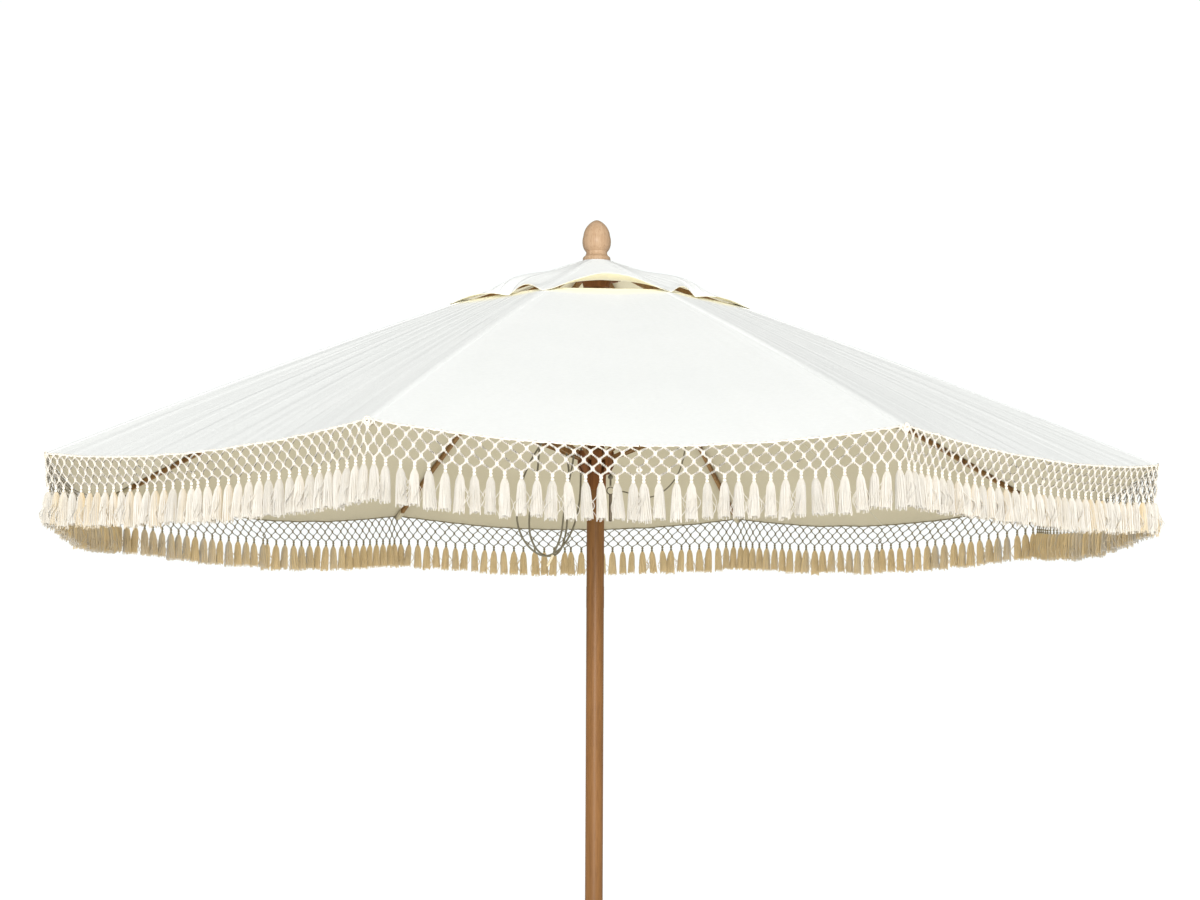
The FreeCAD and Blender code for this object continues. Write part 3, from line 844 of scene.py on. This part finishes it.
def fringe(net_cotton, tassel_cotton):
    variants = [make_tassel(seed) for seed in range(9)]
    pieces = {}
    for k in range(1, PANELS + 1):
        for s in (-1, 1):
            side = "left" if s < 0 else "right"
            net, tassels = Soup(), Soup()
            hang_half(k, s, variants, net, tassels)
            for name, soup, cotton in (("net", net, net_cotton),
                                       ("tassels", tassels, tassel_cotton)):
                points = to_world(np.concatenate(soup.points), k)
                faces = np.concatenate(soup.faces).tolist()
                piece = make_piece(f"{name}_{k}_{side}", points, faces, [cotton])
                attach(piece, f"fringe_{k}")
                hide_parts(f"fringe_{k}")
                pieces[name, k, s] = piece
    return pieces


POCKET_LENGTH, POCKET_HALF_WIDTH, POCKET_HALF_DEPTH = 0.036, 0.0080, 0.0076
POCKET_PAST_RIB, POCKET_END, POCKET_LOWER = 0.007, 0.0015, 0.0006


def rounded(v):
    """Turns a circle's sine or cosine into that of a square with round corners."""
    return math.copysign(abs(v) ** 0.6, v)


def rib_pocket(k, cloth):
    """The cloth pocket sewn under the corner, which the end of the rib sits in."""
    rows, around = 8, 20
    points = []
    for i in range(rows + 2):
        share = min(1, i / rows)
        grow = 1.0 if i <= rows else 0.4
        reach = SPAN - POCKET_LENGTH + (POCKET_LENGTH + POCKET_PAST_RIB) * share
        reach += POCKET_END if i > rows else 0
        sag = 1 + 0.08 * math.sin(5 * share)
        for j in range(around):
            a = 2 * math.pi * j / around
            y = POCKET_HALF_WIDTH * grow * rounded(math.cos(a)) * sag
            up = POCKET_HALF_DEPTH * grow * rounded(math.sin(a)) - POCKET_LOWER
            bow = 4 * RIB_BOW * (reach / SPAN) * (1 - reach / SPAN)
            points.append((
                ROOT_R + reach * ALONG[0] - (up + bow) * ALONG[1],
                y,
                ROOT_Z + reach * ALONG[1] + (up + bow) * ALONG[0],
            ))
    faces = grid_faces(rows + 2, around, wrap=True).tolist()
    faces.append(list(range((rows + 1) * around, (rows + 2) * around)))
    faces.append(list(range(around))[::-1])
    piece = make_piece(f"rib_pocket_{k}", to_world(points, k), faces, [cloth])
    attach(piece, f"rib_{k}")


HEM_CORD_R, HEM_CORD_PLACE = 0.0026, (0.0035, 0, -0.0012)
HEM_CORD_TWIST = {"sides": 8, "lobes": 2, "twist": 520, "depth": 0.14}


def hem_cord(k, s, material):
    """The twisted cord and tape that edge the hem and carry the net."""
    side = "left" if s < 0 else "right"
    path = [hem_point(c / 40, s, k) + np.array(HEM_CORD_PLACE) for c in range(41)]
    points, faces = tube(path, HEM_CORD_R, **HEM_CORD_TWIST)
    piece = make_piece(f"hem_cord_{k}_{side}", to_world(points, k), faces, [material])
    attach(piece, f"rib_{k}")
    return piece


# ---- cords ----
ROPE_R, TWINE_R = 0.00275, 0.0020
ROPE_STEP, TWINE_STEP = 0.003, 0.002
# routes from the runner to the end, with heights from the rim
ROPE_TAIL = [
    (-0.041, 0, 0.017), (-0.041, 0, -0.030), (-0.048, -0.007, -0.084), (-0.063, -0.014, -0.138),
    (-0.092, -0.023, -0.188), (-0.139, -0.032, -0.216), (-0.188, -0.042, -0.186),
    (-0.217, -0.050, -0.130), (-0.217, -0.056, -0.066), (-0.203, -0.062, -0.004),
    (-0.180, -0.074, 0.050), (-0.153, -0.083, 0.092), (-0.137, -0.078, 0.118),
    (-0.151, -0.042, 0.118), (-0.157, -0.035, 0.082), (-0.160, -0.031, 0.026),
    (-0.170, -0.028, -0.038), (-0.184, -0.026, -0.102), (-0.180, -0.024, -0.164),
    (-0.148, -0.022, -0.210), (-0.102, -0.020, -0.208), (-0.082, -0.018, -0.156),
    (-0.077, -0.016, -0.092), (-0.073, -0.014, -0.028), (-0.074, -0.011, 0.030),
    (-0.081, -0.011, 0.066), (-0.080, -0.013, 0.087), (-0.066, -0.048, 0.087),
    (-0.063, -0.053, 0.060), (-0.072, -0.051, 0.012), (-0.084, -0.050, -0.048),
    (-0.091, -0.049, -0.108), (-0.097, -0.048, -0.164), (-0.118, -0.046, -0.207),
]
LANYARD = [
    (0.242, -0.100, 0.141), (0.237, -0.095, 0.078), (0.226, -0.082, 0.026),
    (0.203, -0.063, -0.015), (0.164, -0.041, -0.045), (0.121, -0.020, -0.048),
    (0.084, -0.008, -0.029), (0.053, 0, -0.027),
]


def cord_line(route):
    """The points of the smooth line that a cord's route stands for."""
    curve = bpy.data.curves.new("route", "CURVE")
    curve.dimensions = "3D"
    spline = curve.splines.new("NURBS")
    spline.points.add(len(route) - 1)
    for point, (x, y, z) in zip(spline.points, route):
        point.co = (x, y, z + RIM_Z, 1)
    spline.order_u = 3
    spline.use_endpoint_u = True
    curve.resolution_u = 12
    holder = bpy.data.objects.new("route", curve)
    mesh = bpy.data.meshes.new_from_object(holder)
    line = np.array([v.co for v in mesh.vertices])
    bpy.data.objects.remove(holder)
    bpy.data.curves.remove(curve)
    bpy.data.meshes.remove(mesh)
    keep = [0] + [i for i in range(1, len(line)) if np.linalg.norm(line[i] - line[i - 1]) > 1e-6]
    return line[keep]


def spaced(line, step):
    run = np.concatenate([[0], np.cumsum(np.linalg.norm(np.diff(line, axis=0), axis=1))])
    at = np.linspace(0, run[-1], int(run[-1] / step) + 2)
    return np.stack([np.interp(at, run, line[:, i]) for i in range(3)], axis=1)


def cord_piece(name, route, radius, step, material, **twist):
    """A twisted cord along its route, with its points and its length."""
    line = cord_line(route)
    path = spaced(line, step)
    points, faces = tube(path, radius, **twist)
    length = np.linalg.norm(np.diff(line, axis=0), axis=1).sum()
    piece = make_piece(name, points, faces, [material])
    return piece, [tuple(p) for p in path], float(round(length, 3))


def cords(rope):
    tail, path, length = cord_piece("lift_rope", ROPE_TAIL, ROPE_R, ROPE_STEP, rope,
                                    sides=12, lobes=6, twist=260, depth=0.07)
    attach(tail, "runner")
    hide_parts("lift_rope_tail")
    lanyard, path, length = cord_piece("lock_pin_cord", LANYARD, TWINE_R, TWINE_STEP, rope,
                                       sides=8, lobes=4, twist=400, depth=0.08)
    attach(lanyard, "runner")
    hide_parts("lock_pin_lanyard")


# ---- floor and light ----
FLOOR_HALF, BACKDROP = 60, 1.05
SKY_COLOUR, SUN_COLOUR, SUN_SPREAD_DEG, SUN_ASIDE = (0.97, 1, 0.99, 1), (1, 0.985, 0.96), 18, 0.05


def studio():
    floor_mesh = bpy.data.meshes.new("floor")
    size = FLOOR_HALF
    floor_mesh.from_pydata(
        [(-size, -size, 0), (size, -size, 0), (size, size, 0), (-size, size, 0)], [],
        [(0, 1, 2, 3)],
    )
    floor = bpy.data.objects.new("floor", floor_mesh)
    material, _, shader = new_material("floor", roughness=0.9)
    shader.inputs["Base Color"].default_value = (0.9, 0.9, 0.9, 1)
    shader.inputs["Emission Color"].default_value = (1, 1, 1, 1)
    shader.inputs["Emission Strength"].default_value = FLOOR_GLOW
    floor_mesh.materials.append(material)
    bpy.context.collection.objects.link(floor)

    world = bpy.data.worlds.new("studio")
    bpy.context.scene.world = world
    world.use_nodes = True
    tree = world.node_tree
    background = tree.nodes["Background"]
    path = tree.nodes.new("ShaderNodeLightPath")
    seen = tree.nodes.new("ShaderNodeMix")
    seen.data_type = "FLOAT"
    seen.inputs[2].default_value = SKY
    seen.inputs[3].default_value = BACKDROP
    tree.links.new(path.outputs["Is Camera Ray"], seen.inputs[0])
    tree.links.new(seen.outputs[0], background.inputs["Strength"])
    background.inputs["Color"].default_value = SKY_COLOUR

    sun_data = bpy.data.lights.new("sun", "SUN")
    sun_data.energy = SUN
    sun_data.color = SUN_COLOUR
    sun_data.angle = math.radians(SUN_SPREAD_DEG)
    sun = bpy.data.objects.new("sun", sun_data)
    tilt = math.radians(SUN_HEIGHT_DEG)
    sun.rotation_euler = (
        Vector((SUN_ASIDE, math.cos(tilt), -math.sin(tilt))).to_track_quat("-Z", "Y").to_euler()
    )
    bpy.context.collection.objects.link(sun)
    bpy.context.scene.view_settings.view_transform = "Standard"


# ---- make everything ----
def paint(materials):
    wood, dark, pale = materials["wood"], materials["dark"], materials["pale"]
    steel, brass = materials["steel"], materials["brass"]
    rope, whipping = materials["rope"], materials["whipping"]
    plan = {
        "lower_pole": wood, "upper_pole": wood, "pole_collar": wood, "finial": pale,
        "top_hub": dark, "hub_cover": dark, "runner": dark, "hub_pins": steel,
        "pole_spigot": steel, "finial_stud": steel, "pulley_axle": steel, "pulley_wheel": brass,
        "runner_pins": steel, "lock_pin": materials["dull_steel"], "lift_rope_run": rope,
        "rope_knot": rope, "rope_end": whipping, "vent_crown": materials["vent"],
    }
    for k in range(1, PANELS + 1):
        plan[f"rib_{k}"] = materials["rib_wood"]
        plan[f"strut_{k}"] = materials["rib_wood"]
        plan[f"rib_fittings_{k}"] = brass
    for name, material in plan.items():
        piece = frame["nodes"][name]
        for slot in piece.material_slots:
            slot.material = material


CANVAS_DARK, CANVAS_LIGHT = (0.86, 0.875, 0.865), (0.90, 0.91, 0.90)


def main():
    make_camera()
    materials = {
        "cloth": cloth_material("canvas_outside", CANVAS_DARK, CANVAS_LIGHT,
                                creases=4.8, edge_light_paint=(0.93, 0.89, 0.70)),
        "vent": cloth_material("vent_outside", CANVAS_DARK, CANVAS_LIGHT, creases=3.5),
        # the inside is the same canvas as the outside: its tan is painted shade, tinted like light
        # coming through the cloth
        "cloth_painted_inside": cloth_material("canvas_inside_painted_shade", (0.55, 0.49, 0.335), (0.60, 0.54, 0.38)),
        # the vent's inside is the same canvas: its pale yellow is painted light coming through the
        # cloth
        "vent_cloth_painted_inside": cloth_material("vent_inside_painted_light", (0.90, 0.84, 0.60), (0.95, 0.90, 0.68)),
        "hem": cloth_material("canvas_edge", (0.84, 0.78, 0.60), (0.90, 0.84, 0.66)),
        # the inner colours of net and tassels are painted shade under the canopy, warmed like
        # bounced light
        "net": cotton_material("net_cotton", (0.88, 0.83, 0.75), (0.25, 0.215, 0.125)),
        "cotton": cotton_material("tassel_cotton", (0.625, 0.603, 0.56), (0.76, 0.60, 0.345)),
        "wood": wood_material("pole_wood", (0.146, 0.064, 0.018), (0.236, 0.110, 0.034),
                              roughness=0.58, coat=0.10),
        "rib_wood": wood_material("rib_wood", (0.16, 0.080, 0.026), (0.33, 0.190, 0.070),
                                  roughness=0.72, coat=0.0),
        "dark": wood_material("stained_wood", (0.13, 0.048, 0.013), (0.26, 0.100, 0.027),
                              roughness=0.62, coat=0.05),
        "pale": wood_material("finial_wood", (0.35, 0.22, 0.125), (0.46, 0.32, 0.205),
                              roughness=0.55, coat=0.08),
        "steel": metal_material("steel", (0.6, 0.6, 0.6), 0.35),
        "dull_steel": metal_material("dull_steel", (0.26, 0.22, 0.17), 0.45),
        "brass": metal_material("brass", (0.60, 0.42, 0.18), 0.4),
        "rope": cord_material("rope", (0.13, 0.115, 0.075), (0.25, 0.225, 0.15)),
        "whipping": cord_material("whipping", (0.75, 0.66, 0.46), (0.86, 0.78, 0.6)),
    }
    paint(materials)
    cloth = canopy(
        [materials["cloth"], materials["cloth_painted_inside"], materials["hem"]],
        [materials["vent"], materials["vent_cloth_painted_inside"], materials["hem"]],
    )
    strings = fringe(materials["net"], materials["cotton"])
    for k in range(1, PANELS + 1):
        seam_strip(k, main_cloth, "seam", 60, materials["cloth"])
        seam_strip(k, vent_cloth, "vent_seam", 24, materials["vent"])
        rib_pocket(k, materials["cloth_painted_inside"])
        for s in (-1, 1):
            cord = hem_cord(k, s, materials["net"])
            for kind, surface in (("canopy", main_cloth), ("vent", vent_cloth)):
                piece = cloth[kind, k, s]
                area, width, length = strip_area(surface, k, s)
                gather(piece)
            gather(cord)
            for name in ("net", "tassels"):
                gather(strings[name, k, s])
    cords(materials["rope"])
    studio()


main()
